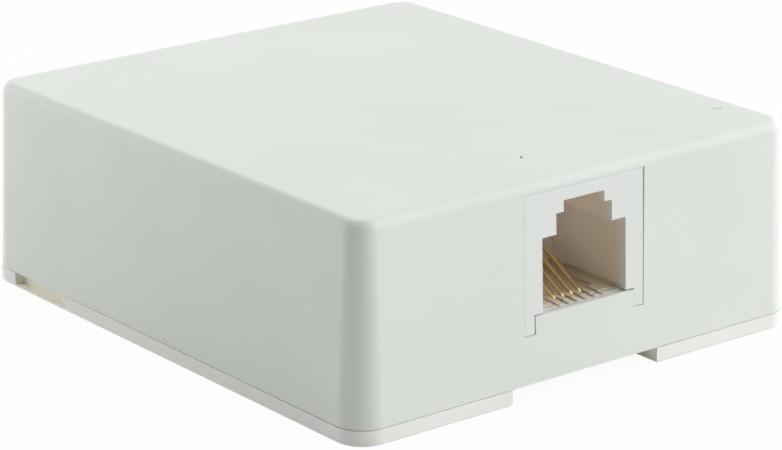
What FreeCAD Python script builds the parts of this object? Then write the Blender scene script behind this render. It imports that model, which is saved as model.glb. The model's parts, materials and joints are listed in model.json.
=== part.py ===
import FreeCAD, Part
import math
import os

# Surface mount jack box: a flat base that is screwed to a wall, a six-position modular jack
# with four contacts standing on its front edge, four screw terminals and a clip-on cover.
# Millimetres. +Z is away from the wall, the jack faces -Y, and the origin is at the middle
# of the base's underside.

Vec = FreeCAD.Vector
UP = Vec(0, 0, 1)
SIDES = (-1, 1)

# ---- cover and base --------------------------------------------------------------------
COVER_WIDTH = 52.44          # across the jack's face, at the open edge
COVER_DEPTH = 58.92          # from the jack's face to the back, at the open edge
TOTAL_HEIGHT = 20.26
COVER_WALL = 1.4
COVER_ROOF = 1.4
WALL_DRAFT = 2.085           # degrees that the walls lean inwards
CORNER_RADIUS = 2.9          # upright corners, at the open edge
TOP_ROUND = 1.0
BASE_THICKNESS = 1.57
RIM_PROUD = 0.08             # how far the base's edge stands out from the cover
SEAM_GAP = 0.08              # shadow line under the cover's edge
SEAM_GAP_DEPTH = 0.45
FOOT_BEVEL = 0.2

# ---- jack --------------------------------------------------------------------------------
FACE_WIDTH = 14.1
FACE_HEIGHT = 12.86
FACE_WALL = 1.21             # above the notch for the latch
ROOF_OVER_JACK = 1.18        # from the top of the jack's face to the top of the cover
LEG_WIDTH = 1.1              # the face's two legs straddle the cover's tongue
OPENING_WIDTH = 9.9
OPENING_HEIGHT = 6.93
LATCH_WIDTH = 6.6            # way for the plug's latch, above the plug
LATCH_RISE = 1.95
CATCH_WIDTH = 4.6            # narrow notch that the latch hooks behind
CATCH_RISE = 1.07
CATCH_DEPTH = 1.0
CAVITY_DEPTH = 10.3
JACK_LENGTH = 13.4           # from the face to the housing's back
BODY_STEP = 0.48             # the housing is lower than its face
LEDGE_RISE = 0.08            # ledges beside the contacts lie just above the comb
TROUGH_WIDTH = 7.4
TROUGH_DEPTH = 0.9           # under the contacts, behind the comb
CAVITY_FLOOR = 1.42          # thickness
CHAMBER_WIDTH = 10.8
COMB_SETBACK = 0.66          # comb's front edge, behind the face
COMB_LENGTH = 2.3
COMB_GROOVE = 0.6
WIRE_SPACE = 0.85            # between the cavity's floor and the carrier
CARRIER_GAP = 0.1
CARRIER_SHELF = 3.5          # length of the carrier behind the housing
CARRIER_WALL = 1.1
CARRIER_LATCH_LOW = 0.8      # above the seam
CARRIER_LATCH_HEIGHT = 1.2
CARRIER_LATCH_LENGTH = 2.6
CARRIER_LATCH_BACK = 1.6     # from the housing's back
RAIL_WIDTH = 1.6             # upright rails on the housing's sides
RAIL_PROUD = 0.7
RAIL_HEIGHT = 10.0
RAIL_BACK = 4.4              # from the housing's back to the middle of the rail

# ---- contacts and leads ----------------------------------------------------------------
POSITIONS = 6
PITCH = 1.02
WIRE = 0.45                  # diameter of the contact wires
WIRE_GROOVE = 0.6
WIRE_RISE = 29.0             # degrees at which the contacts slope up to the back
WIRE_SETBACK = 2.35          # where the contacts come up, behind the face
WIRE_BEND = 0.8
WIRE_SIDES = 8
BEND_CHORDS = 3              # straight pieces in each bend
CRIMP_SIDES = 12
WIRE_SINK = 0.1              # where the contacts turn back, under the comb's top
WIRE_TIP = 1.0               # into the guide slots at the cavity's back
TAIL_PITCH = 1.7             # the contacts fan out to this at the housing's back
SLEEVE = 1.5
SLEEVE_LENGTH = 3.3
LEAD = 1.3                   # over the insulation
LEAD_SIDES = 10
CORE = 0.5
CORE_STRIP = 1.6
LEAD_STRAIGHT = 1.8

# ---- terminals -------------------------------------------------------------------------
TERMINAL_X = 15.0
FRONT_ROW = 17.06            # from the jack's back to the front pair of screws
REAR_ROW = 33.06
POST_RADIUS = 4.2
POST_SIDES = 8
POST_HEIGHT = 5.0
POST_FLOOR = 0.7             # left under the blind screw hole
SCREW = 3.5
SCREW_GAP = 0.05             # radial, in the post
SCREW_LENGTH = 7.0
HEAD_RADIUS = 3.3
HEAD_HEIGHT = 2.2
HEAD_BEVEL = 0.5
DRIVE_WIDTH = 0.9
DRIVE_DEPTH = 1.1
CROSS_REACH = 2.05
CROSS_DEPTH = 1.3
SCREW_TURN = 25.0            # degrees that the slots stand off the X axis
WASHER_THICKNESS = 0.6
WASHER_HOLE = 3.8
LOWER_WASHER_SIDE = 8.2
LOWER_WASHER_CORNER = 0.8    # cut off each corner
UPPER_WASHER = 7.6
WASHER_SIDES = 32
FORK_WIDTH = 6.4
FORK_THICKNESS = 0.8
FORK_SLOT = 3.8
FORK_TIP = 3.0
FORK_NECK = 5.6
BARREL = 2.3
BARREL_BORE = 1.4
BARREL_LENGTH = 4.5
BARREL_GRIP = 3.2            # how far the lead goes into the barrel
FENCE_GAP = 0.35
FENCE_THICKNESS = 0.9
FENCE_RISE = 2.0

# ---- base details ----------------------------------------------------------------------
NOTCH_WIDTH = 17.4           # gap in the rim under the jack
NOTCH_DEPTH = 6.0
PRY_INSET = 4.46             # from the back to the screwdriver slots in the two sides
PRY_LENGTH = 8.8
PRY_DEPTH = 1.0
PRY_LIP = 0.35
PRY_POCKET = 1.6
LIP_THICKNESS = 1.1          # locating lip inside the cover's walls
LIP_HEIGHT = 2.2
LIP_GAP = 0.2
LIP_BREAK = 0.7              # gap in the lip at each end of a snap arm
CRADLE_THICKNESS = 1.5
CRADLE_HEIGHT = 10.9
CRADLE_RETURN = 3.4          # behind the housing
RETURN_DROP = 3.0
SNAP_WIDTH = 6.0
SNAP_HEIGHT = 6.0
SNAP_THICKNESS = 1.0
SNAP_NOSE = 0.5
SNAP_PASS = 0.06             # space between the snap's nose and the cover's catch
CATCH_RIDGE = 0.35
CATCH_THICKNESS = 1.0
MOUNT_SPACING = 20.0
MOUNT_INSET = 17.96          # from the back to the middle of the two slots
MOUNT_SLOT_WIDTH = 4.2
MOUNT_SLOT_LENGTH = 7.0
MOUNT_BOSS_WALL = 1.2
MOUNT_BOSS_HEIGHT = 1.0
CABLE_HOLE_WIDTH = 9.0
CABLE_HOLE_LENGTH = 9.0
CABLE_HOLE_ROUND = 2.0
WEB_THICKNESS = 1.0
WEB_HEIGHT = 3.0

# ---- cover details ---------------------------------------------------------------------
TONGUE_THICKNESS = 0.55
TONGUE_RELIEF = 2.3
SIDE_RIB_GAP = 1.85          # from the jack's face to the rib that locates it
SIDE_RIB_THICKNESS = 1.0
SIDE_RIB_LENGTH = 2.6
GATE_PIP_WIDTH = 1.1
GATE_PIP_HEIGHT = 0.1
GATE_PIP_SIDE = 3.6          # from the right side
GATE_PIP_FRONT = 7.4         # from the jack's face

# ---- clearances ------------------------------------------------------------------------
WINDOW_GAP = 0.08            # round the jack's face
FIT_GAP = 0.1                # between pieces that slide together once
SWING_GAP = 0.06             # kept while the cover swings
REST_GAP = 0.02              # under a piece that lies in place

# ---- worked out ------------------------------------------------------------------------
TAPER = math.tan(math.radians(WALL_DRAFT))
SEAM = BASE_THICKNESS
ROOF_INSIDE = TOTAL_HEIGHT - COVER_ROOF
JACK_BACK = JACK_LENGTH - COVER_DEPTH / 2
FACE_TOP = TOTAL_HEIGHT - ROOF_OVER_JACK
LEG_BOTTOM = FACE_TOP - FACE_HEIGHT
JACK_TOP = FACE_TOP - BODY_STEP
CATCH_TOP = FACE_TOP - FACE_WALL
LATCH_TOP = CATCH_TOP - CATCH_RISE
OPENING_TOP = LATCH_TOP - LATCH_RISE
OPENING_FLOOR = OPENING_TOP - OPENING_HEIGHT
CHAMBER_TOP = OPENING_FLOOR - CAVITY_FLOOR
CARRIER_TOP = CHAMBER_TOP - WIRE_SPACE
WINDOW_WIDTH = FACE_WIDTH + 2 * WINDOW_GAP
TONGUE_WIDTH = FACE_WIDTH - 2 * LEG_WIDTH - 2 * WINDOW_GAP
TONGUE_TOP = OPENING_FLOOR - FIT_GAP
POST_TOP = BASE_THICKNESS + POST_HEIGHT
FORK_BOTTOM = POST_TOP + WASHER_THICKNESS
FORK_TOP = FORK_BOTTOM + FORK_THICKNESS
HEAD_BOTTOM = FORK_TOP + WASHER_THICKNESS
BARREL_AXIS = FORK_BOTTOM + BARREL / 2
WIRE_AXIS = CARRIER_TOP + WIRE / 2 + REST_GAP
SLEEVE_END = JACK_BACK + CARRIER_SHELF - FIT_GAP
PRY_END = COVER_DEPTH / 2 - PRY_INSET
PRY_START = PRY_END - PRY_LENGTH
ARM_MIDDLE = (PRY_START + PRY_END) / 2
MOUNT_MIDDLE = COVER_DEPTH / 2 - MOUNT_INSET

# name of the line, place in the row of contacts, side and row of its terminal
LINES = (
    ("black", -1.5, -1, "front"),
    ("red", -0.5, -1, "rear"),
    ("green", 0.5, 1, "rear"),
    ("yellow", 1.5, 1, "front"),
)
ROW_Y = {"front": JACK_BACK + FRONT_ROW, "rear": JACK_BACK + REAR_ROW}
FORK_ANGLE = {"front": -40.0, "rear": -50.0}
# how each lead lies between its sleeve and its fork: away from the middle, back from the
# sleeve and up from it
LEAD_ROUTE = {
    "front": ((3.9, 4.4, 1.6),),
    "rear": ((2.1, 5.4, 0.0), (5.0, 10.0, 0.0), (6.6, 16.2, 1.0)),
}


# ---- building blocks -------------------------------------------------------------------
def box(x0, x1, y0, y1, z0, z1):
    return Part.makeBox(x1 - x0, y1 - y0, z1 - z0, Vec(x0, y0, z0))


def mid_box(width, y0, y1, z0, z1):
    """A box centred on the plane x = 0."""
    return box(-width / 2, width / 2, y0, y1, z0, z1)


def side_box(side, inner, outer, y0, y1, z0, z1):
    """A box between two distances from the plane x = 0, on one side of it."""
    x0, x1 = sorted((side * inner, side * outer))
    return box(x0, x1, y0, y1, z0, z1)


def flat_face(corners):
    return Part.Face(Part.makePolygon(corners + corners[:1]))


def prism(points, along):
    """The flat polygon through points, pushed along a vector."""
    return flat_face([Vec(*p) for p in points]).extrude(along)


def outward(solid):
    """The same solid with its faces turned outward."""
    if solid.Volume < 0:
        solid.reverse()
    return solid


def cylinder(radius, height, x, y, z, axis=UP):
    return Part.makeCylinder(radius, height, Vec(x, y, z), axis)


def many_sided(radius, height, x, y, z, axis, across, sides):
    """A prism of equal sides that fits inside the round bar of this radius."""
    upward = across.cross(axis).normalize()
    corners = []
    for number in range(sides):
        turn = 2 * math.pi * (number + 0.5) / sides
        out = across * math.cos(turn) + upward * math.sin(turn)
        corners.append(Vec(x, y, z) + out * radius)
    return flat_face(corners).extrude(axis * height)


def crimped(radius, height, x, y, z, axis):
    """A barrel that the crimping dies have pressed to flats."""
    return many_sided(radius, height, x, y, z, axis, axis.cross(UP).normalize(), CRIMP_SIDES)


def rounded_outline(width, depth, radius, z, y_middle=0.0):
    """Closed wire of a rectangle with round corners."""
    hx = width / 2
    hy = depth / 2
    lean = radius * (1 - math.sqrt(0.5))
    edges = []
    corners = ((1, 1), (-1, 1), (-1, -1), (1, -1))
    for number, (sx, sy) in enumerate(corners):
        on_x_side = Vec(sx * hx, y_middle + sy * (hy - radius), z)
        on_y_side = Vec(sx * (hx - radius), y_middle + sy * hy, z)
        middle = Vec(sx * (hx - lean), y_middle + sy * (hy - lean), z)
        start, end = (on_x_side, on_y_side) if number % 2 == 0 else (on_y_side, on_x_side)
        edges.append((start, middle, end))
    wire = []
    for (start, middle, end), following in zip(edges, edges[1:] + edges[:1]):
        wire.append(Part.Arc(start, middle, end).toShape())
        wire.append(Part.LineSegment(end, following[0]).toShape())
    return Part.Wire(wire)


def rounded_plate(width, depth, radius, z0, z1, y_middle=0.0):
    return Part.Face(rounded_outline(width, depth, radius, z0, y_middle)).extrude(UP * (z1 - z0))


def drafted_block(inset, z0, z1):
    """The cover's outline, set in by inset, between two heights, leaning in with the draft."""
    outlines = []
    for z in (z0, z1):
        shrink = inset + (z - SEAM) * TAPER
        radius = max(CORNER_RADIUS - shrink, 0.3)
        outlines.append(
            rounded_outline(COVER_WIDTH - 2 * shrink, COVER_DEPTH - 2 * shrink, radius, z)
        )
    return Part.makeLoft(outlines, True, True)


def face_y(z, inset=0.0):
    """Where the cover's front wall is at height z."""
    return -COVER_DEPTH / 2 + inset + (z - SEAM) * TAPER


def side_x(z, inset=0.0):
    """Half the cover's width at height z."""
    return COVER_WIDTH / 2 - inset - (z - SEAM) * TAPER


def edges_at(shape, z):
    """The edges of a shape that lie at one height."""
    level = []
    for edge in shape.Edges:
        if abs(edge.BoundBox.ZMin - z) < 1e-6 and abs(edge.BoundBox.ZMax - z) < 1e-6:
            level.append(edge)
    return level


def join(shapes):
    first, rest = shapes[0], shapes[1:]
    return first.fuse(rest).removeSplitter()


def chord_path(points, radii):
    """Straight runs through the points; each corner is an arc of short chords."""
    corners = [Vec(*p) for p in points]
    path = [corners[0]]
    for before, corner, after, radius in zip(corners, corners[1:], corners[2:], radii):
        back = (before - corner).normalize()
        ahead = (after - corner).normalize()
        half_turn = (math.pi - back.getAngle(ahead)) / 2
        start = corner + back * (radius * math.tan(half_turn))
        centre = corner + (back + ahead).normalize() * (radius / math.cos(half_turn))
        axis = (corner - before).cross(after - corner)
        for step in range(BEND_CHORDS + 1):
            turn = FreeCAD.Rotation(axis, math.degrees(2 * half_turn * step / BEND_CHORDS))
            path.append(centre + turn.multVec(start - centre))
    return path + [corners[-1]]


def easy_radii(points):
    """The largest arc that each inner corner's two runs allow."""
    corners = [Vec(*p) for p in points]
    radii = []
    for before, corner, after in zip(corners, corners[1:], corners[2:]):
        back = before - corner
        ahead = after - corner
        half_turn = (math.pi - back.getAngle(ahead)) / 2
        radii.append(0.45 * min(back.Length, ahead.Length) / math.tan(half_turn))
    return radii


def bar(points, radii, diameter, sides):
    """A many-sided bar along a bent path, mitred where it turns."""
    path = chord_path(points, radii)
    runs = [(after - before).normalize() for before, after in zip(path, path[1:])]
    across = runs[0].cross(UP).normalize()
    upward = across.cross(runs[0])
    ring = []
    for number in range(sides):
        turn = 2 * math.pi * number / sides
        ring.append(path[0] + (across * math.cos(turn) + upward * math.sin(turn)) * (diameter / 2))
    rings = [ring]
    for number, run in enumerate(runs):
        place = path[number + 1]
        mitre = run + runs[number + 1] if number + 1 < len(runs) else run
        ring = [corner + run * ((place - corner).dot(mitre) / run.dot(mitre)) for corner in ring]
        rings.append(ring)
    faces = [flat_face(rings[0]), flat_face(rings[-1])]
    for first, second in zip(rings, rings[1:]):
        for number in range(sides):
            previous = number - 1
            faces.append(
                flat_face([first[previous], first[number], second[number], second[previous]])
            )
    shell = Part.Shell(faces)
    shell.sewShape()
    return outward(Part.Solid(shell))


# ---- cover -----------------------------------------------------------------------------
def window():
    """The way through the front wall for the jack's face, round the tongue."""
    low = LEG_BOTTOM - WINDOW_GAP
    reach = face_y(SEAM) - 1
    inner = face_y(FACE_TOP, COVER_WALL) + 0.5
    opening = mid_box(WINDOW_WIDTH, reach, inner, low, FACE_TOP + WINDOW_GAP)
    return opening.cut(mid_box(TONGUE_WIDTH, reach, inner, low, TONGUE_TOP))


def leg_ramps():
    """Slopes under the jack's legs, so that the rail below them can swing out."""
    low = LEG_BOTTOM - WINDOW_GAP
    outer = face_y(low)
    inner = face_y(low, COVER_WALL) + 0.2
    swing = math.hypot(low - SEAM, outer - face_y(SEAM)) + WINDOW_GAP - SWING_GAP
    drop = low - SEAM - math.sqrt(swing**2 - (inner - face_y(SEAM)) ** 2)
    ramps = []
    for side in SIDES:
        x0 = min(side * TONGUE_WIDTH / 2, side * WINDOW_WIDTH / 2)
        profile = ((x0, outer, low), (x0, inner, low), (x0, inner, low - drop))
        ramps.append(prism(profile, Vec((WINDOW_WIDTH - TONGUE_WIDTH) / 2, 0, 0)))
    return ramps


def tongue_relief():
    """Thins the tongue from behind, where the jack's comb reaches forward."""
    back_of_tongue = face_y(TONGUE_TOP) + TONGUE_THICKNESS
    inner = face_y(TONGUE_TOP, COVER_WALL) + 0.5
    return mid_box(TONGUE_WIDTH, back_of_tongue, inner, TONGUE_TOP - TONGUE_RELIEF, TONGUE_TOP + 0.5)


def roof_relief():
    """Shallow pocket in the roof that lets the top of the jack's face swing past."""
    corner = math.hypot(FACE_TOP - SEAM, face_y(FACE_TOP) - face_y(SEAM)) + SWING_GAP
    reach = math.sqrt(max(corner**2 - (ROOF_INSIDE - SEAM) ** 2, 0.01))
    y0 = face_y(FACE_TOP, COVER_WALL / 2)
    y1 = max(face_y(SEAM) + reach + 0.3, y0 + 0.5)
    return mid_box(WINDOW_WIDTH, y0, y1, ROOF_INSIDE - 1, FACE_TOP + WINDOW_GAP)


def catch_ridges():
    """The ridges inside the side walls that the base's snap arms hold."""
    top = SEAM + SNAP_HEIGHT - CATCH_THICKNESS - FIT_GAP
    ridges = []
    for side in SIDES:
        tip = side_x(top, COVER_WALL) - CATCH_RIDGE
        root = side_x(top, COVER_WALL / 2)
        y0 = ARM_MIDDLE - SNAP_WIDTH / 2
        ridges.append(side_box(side, tip, root, y0, y0 + SNAP_WIDTH, top - CATCH_THICKNESS, top))
    return ridges


def front_ribs():
    """Upright ribs on the front wall that keep the cover in line with the jack."""
    ribs = []
    for side in SIDES:
        inner = FACE_WIDTH / 2 + SIDE_RIB_GAP
        outer = inner + SIDE_RIB_THICKNESS
        y0 = face_y(ROOF_INSIDE, COVER_WALL / 2)
        y1 = face_y(SEAM, COVER_WALL) + SIDE_RIB_LENGTH
        low = SEAM + LIP_HEIGHT + FIT_GAP
        rib = side_box(side, inner, outer, face_y(SEAM), y1, low, ROOF_INSIDE + COVER_ROOF / 2)
        ribs.append(rib.common(box(-COVER_WIDTH, COVER_WIDTH, y0, y1, low, TOTAL_HEIGHT)))
    return ribs


def gate_pip():
    """Low round pip that the moulding gate left on the top."""
    radius = GATE_PIP_WIDTH / 2
    x = COVER_WIDTH / 2 - GATE_PIP_SIDE
    y = GATE_PIP_FRONT - COVER_DEPTH / 2
    height = 2 * GATE_PIP_HEIGHT
    foot = Vec(x, y, TOTAL_HEIGHT - GATE_PIP_HEIGHT)
    return Part.makeCone(radius + GATE_PIP_HEIGHT, radius - GATE_PIP_HEIGHT, height, foot)


def cover():
    outer = drafted_block(0, SEAM, TOTAL_HEIGHT)
    outer = outer.makeFillet(TOP_ROUND, edges_at(outer, TOTAL_HEIGHT))
    shell = outer.cut(drafted_block(COVER_WALL, SEAM - 1, ROOF_INSIDE))
    shell = join([shell, gate_pip()] + catch_ridges() + front_ribs())
    shell = shell.cut([window(), tongue_relief(), roof_relief()] + leg_ramps())
    return shell.removeSplitter()


# ---- base ------------------------------------------------------------------------------
def base_plate():
    width = COVER_WIDTH + 2 * RIM_PROUD
    depth = COVER_DEPTH + 2 * RIM_PROUD
    plate = rounded_plate(width, depth, CORNER_RADIUS, 0, SEAM - SEAM_GAP)
    radius = CORNER_RADIUS - SEAM_GAP_DEPTH
    width -= 2 * SEAM_GAP_DEPTH
    depth -= 2 * SEAM_GAP_DEPTH
    plate = plate.fuse(rounded_plate(width, depth, radius, 0, SEAM)).removeSplitter()
    notch = mid_box(NOTCH_WIDTH, -COVER_DEPTH, NOTCH_DEPTH - COVER_DEPTH / 2, -1, SEAM + 1)
    plate = plate.cut([notch] + pry_slots())
    return plate.makeChamfer(FOOT_BEVEL, edges_at(plate, 0))


def locating_lip():
    """Low wall just inside the cover's walls, open at the jack and at the snap arms."""
    outer = COVER_WALL + LIP_GAP
    inner = outer + LIP_THICKNESS
    top = SEAM + LIP_HEIGHT
    ring = rounded_plate(
        COVER_WIDTH - 2 * outer, COVER_DEPTH - 2 * outer, CORNER_RADIUS - COVER_WALL, SEAM, top
    )
    half_depth = COVER_DEPTH / 2 - inner
    ring = ring.cut(mid_box(COVER_WIDTH - 2 * inner, -half_depth, half_depth, SEAM, top))
    jack_gap = FACE_WIDTH / 2 + SIDE_RIB_GAP + SIDE_RIB_THICKNESS + 0.5
    ring = ring.cut(mid_box(2 * jack_gap, -COVER_DEPTH / 2, 0, SEAM, top))
    reach = SNAP_WIDTH / 2 + LIP_BREAK
    return ring.cut(mid_box(COVER_WIDTH, ARM_MIDDLE - reach, ARM_MIDDLE + reach, SEAM, top))


def cradle():
    """Two grooved walls that hold the jack's rails, with returns behind the housing."""
    inner = FACE_WIDTH / 2 + FIT_GAP
    outer = inner + CRADLE_THICKNESS
    front = NOTCH_DEPTH - COVER_DEPTH / 2 + 0.2
    back = JACK_BACK + FIT_GAP
    top = SEAM + CRADLE_HEIGHT
    rail = JACK_BACK - RAIL_BACK
    half_groove = RAIL_WIDTH / 2 + FIT_GAP
    walls = []
    for side in SIDES:
        wall = side_box(side, inner, outer, front, back, SEAM - 0.5, top)
        groove_top = SEAM + RAIL_HEIGHT + FIT_GAP
        groove = side_box(
            side, 0, inner + RAIL_PROUD, rail - half_groove, rail + half_groove, SEAM, groove_top
        )
        walls.append(wall.cut(groove))
        behind = back + CRADLE_THICKNESS
        low_top = top - RETURN_DROP
        walls.append(
            side_box(side, outer - CRADLE_RETURN, outer, back, behind, SEAM - 0.5, low_top)
        )
    return walls


def snap_arms():
    """Upright arms with a nose over the cover's catch ridges."""
    top = SEAM + SNAP_HEIGHT
    nose_low = top - CATCH_THICKNESS
    tip = side_x(nose_low - FIT_GAP, COVER_WALL) - CATCH_RIDGE - SNAP_PASS
    face = tip - SNAP_NOSE
    arms = []
    for side in SIDES:
        y0 = ARM_MIDDLE - SNAP_WIDTH / 2
        profile = (
            (side * (face - SNAP_THICKNESS), y0, SEAM - 0.5),
            (side * face, y0, SEAM - 0.5),
            (side * face, y0, nose_low),
            (side * tip, y0, nose_low),
            (side * face, y0, top),
            (side * (face - SNAP_THICKNESS), y0, top),
        )
        arms.append(prism(profile, Vec(0, SNAP_WIDTH, 0)))
    return arms


def terminal_places():
    return [(side * TERMINAL_X, ROW_Y[row], side) for _, _, side, row in LINES]


def terminal_posts():
    """Screw posts, each with an outer fence and a web to the locating lip."""
    lip_inside = COVER_WIDTH / 2 - COVER_WALL - LIP_GAP - LIP_THICKNESS
    parts = []
    for x, y, side in terminal_places():
        height = POST_TOP - SEAM + 0.5
        parts.append(many_sided(POST_RADIUS, height, x, y, SEAM - 0.5, UP, Vec(1, 0, 0), POST_SIDES))
        near = TERMINAL_X + LOWER_WASHER_SIDE / 2 + FENCE_GAP
        half = POST_RADIUS - 0.7
        fence_top = POST_TOP + FENCE_RISE
        far = near + FENCE_THICKNESS
        parts.append(side_box(side, near, far, y - half, y + half, SEAM - 0.5, fence_top))
        half = WEB_THICKNESS / 2
        web_top = SEAM + WEB_HEIGHT
        parts.append(side_box(side, TERMINAL_X, near, y - half, y + half, SEAM - 0.5, web_top))
        lip_web_top = SEAM + min(WEB_HEIGHT, LIP_HEIGHT)
        parts.append(side_box(side, near, lip_inside + 0.3, y - half, y + half, SEAM - 0.5, lip_web_top))
    return parts


def post_holes():
    depth = POST_TOP - POST_FLOOR
    return [
        cylinder(SCREW / 2 + SCREW_GAP, depth, x, y, POST_FLOOR) for x, y, _ in terminal_places()
    ]


def mount_slot(width, length, y, z0, z1):
    """A round-ended block along Y."""
    half = (length - width) / 2
    middle = mid_box(width, y - half, y + half, z0, z1)
    ends = [cylinder(width / 2, z1 - z0, 0, y + way * half, z0) for way in SIDES]
    return join([middle] + ends)


def mount_rows():
    return [MOUNT_MIDDLE + way * MOUNT_SPACING / 2 for way in SIDES]


def mount_bosses():
    grow = 2 * MOUNT_BOSS_WALL
    top = SEAM + MOUNT_BOSS_HEIGHT
    return [
        mount_slot(MOUNT_SLOT_WIDTH + grow, MOUNT_SLOT_LENGTH + grow, y, SEAM - 0.5, top)
        for y in mount_rows()
    ]


def mount_slots():
    top = SEAM + MOUNT_BOSS_HEIGHT + 1
    return [mount_slot(MOUNT_SLOT_WIDTH, MOUNT_SLOT_LENGTH, y, -1, top) for y in mount_rows()]


def cable_hole():
    return rounded_plate(
        CABLE_HOLE_WIDTH, CABLE_HOLE_LENGTH, CABLE_HOLE_ROUND, -1, SEAM + 1, MOUNT_MIDDLE
    )


def pry_slots():
    """Screwdriver slots under the cover's side walls, each with a pocket at its back end."""
    outer = COVER_WIDTH / 2 + RIM_PROUD
    pocket = PRY_END - PRY_POCKET
    cuts = []
    for side in SIDES:
        cuts.append(side_box(side, outer - PRY_DEPTH, outer + 1, PRY_START, PRY_END, PRY_LIP, SEAM + 1))
        cuts.append(
            side_box(side, outer - 2 * PRY_DEPTH, outer, pocket, PRY_END, PRY_LIP, SEAM - PRY_LIP)
        )
    return cuts


def base():
    body = join(
        [base_plate(), locating_lip()] + cradle() + snap_arms() + terminal_posts() + mount_bosses()
    )
    body = body.cut(post_holes() + mount_slots() + [cable_hole()])
    return body.removeSplitter()


# ---- jack ------------------------------------------------------------------------------
def slot_places(count):
    return [(number - (count - 1) / 2) * PITCH for number in range(count)]


def plug_cavity():
    """Stepped hole for the plug and its latch, with the catch notch in the front lip."""
    front = -COVER_DEPTH
    back = cavity_back()
    lip = face_y(CATCH_TOP) + CATCH_DEPTH
    ledge = OPENING_FLOOR + LEDGE_RISE
    return [
        mid_box(OPENING_WIDTH, front, back, ledge, OPENING_TOP),
        mid_box(OPENING_WIDTH, front, lip, OPENING_FLOOR, OPENING_TOP),
        mid_box(LATCH_WIDTH, front, back, ledge, LATCH_TOP),
        mid_box(LATCH_WIDTH, lip, back, ledge, CATCH_TOP),
        mid_box(CATCH_WIDTH, front, lip + 0.1, ledge, CATCH_TOP),
    ]


def cavity_back():
    return face_y(OPENING_FLOOR) + CAVITY_DEPTH


def comb_front():
    return face_y(OPENING_FLOOR) + COMB_SETBACK


def wire_y():
    """Where the contacts come up through the comb."""
    return face_y(OPENING_FLOOR) + WIRE_SETBACK


def comb_cuts():
    """Grooves in the comb, the trough behind it, and the slots that guide the wires' tips."""
    back = cavity_back()
    trough_front = comb_front() + COMB_LENGTH
    tip_slot_top = OPENING_FLOOR + (back - wire_y()) * math.tan(math.radians(WIRE_RISE)) + 1.6
    trough_floor = OPENING_FLOOR - TROUGH_DEPTH
    cuts = [mid_box(TROUGH_WIDTH, trough_front, back, trough_floor, OPENING_FLOOR + 1)]
    for x in slot_places(POSITIONS):
        x0 = x - WIRE_GROOVE / 2
        x1 = x + WIRE_GROOVE / 2
        low = OPENING_FLOOR - COMB_GROOVE
        cuts.append(box(x0, x1, comb_front() - 1, trough_front, low, OPENING_FLOOR + 1))
        cuts.append(box(x0, x1, back - 1, back + 1.5, OPENING_FLOOR, tip_slot_top))
    for x in slot_places(len(LINES)):
        x0 = x - WIRE_GROOVE / 2
        x1 = x + WIRE_GROOVE / 2
        y0 = wire_y() - WIRE
        cuts.append(box(x0, x1, y0, trough_front, CHAMBER_TOP - 1, OPENING_FLOOR + 1))
    return cuts


def housing_rails():
    middle = JACK_BACK - RAIL_BACK
    y0 = middle - RAIL_WIDTH / 2
    inner = FACE_WIDTH / 2 - 0.5
    outer = FACE_WIDTH / 2 + RAIL_PROUD - FIT_GAP
    top = SEAM + RAIL_HEIGHT
    return [side_box(side, inner, outer, y0, y0 + RAIL_WIDTH, SEAM, top) for side in SIDES]


def latch_place():
    """Ends and heights of the windows that hold the contact carrier in the housing."""
    y1 = JACK_BACK - CARRIER_LATCH_BACK
    z0 = SEAM + CARRIER_LATCH_LOW
    return y1 - CARRIER_LATCH_LENGTH, y1, z0, z0 + CARRIER_LATCH_HEIGHT


def jack_housing():
    ahead = -COVER_DEPTH
    body_front = face_y(LEG_BOTTOM, COVER_WALL) + 0.2
    plate_back = face_y(FACE_TOP, COVER_WALL)
    plate = mid_box(FACE_WIDTH, ahead, plate_back, LEG_BOTTOM, FACE_TOP)
    plate = plate.cut(mid_box(FACE_WIDTH - 2 * LEG_WIDTH, ahead, plate_back, 0, OPENING_FLOOR))
    body = mid_box(FACE_WIDTH, body_front, JACK_BACK, SEAM, JACK_TOP)
    comb_width = TONGUE_WIDTH - 2 * FIT_GAP
    comb = mid_box(comb_width, comb_front(), body_front + 1, CHAMBER_TOP, OPENING_FLOOR)
    shape = join([body, plate, comb] + housing_rails())
    lean = TOTAL_HEIGHT * TAPER
    in_front = prism(
        (
            (-FACE_WIDTH, face_y(SEAM), SEAM),
            (-FACE_WIDTH, face_y(SEAM) + lean, SEAM + TOTAL_HEIGHT),
            (-FACE_WIDTH, 2 * ahead, SEAM + TOTAL_HEIGHT),
            (-FACE_WIDTH, 2 * ahead, SEAM),
        ),
        Vec(2 * FACE_WIDTH, 0, 0),
    )
    chamber = mid_box(CHAMBER_WIDTH, ahead, JACK_BACK + 1, SEAM - 1, CHAMBER_TOP)
    y0, y1, z0, z1 = latch_place()
    latch_windows = mid_box(FACE_WIDTH + 1, y0, y1, z0, z1)
    shape = shape.cut([in_front, chamber, latch_windows] + plug_cavity() + comb_cuts())
    return shape.removeSplitter()


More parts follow.
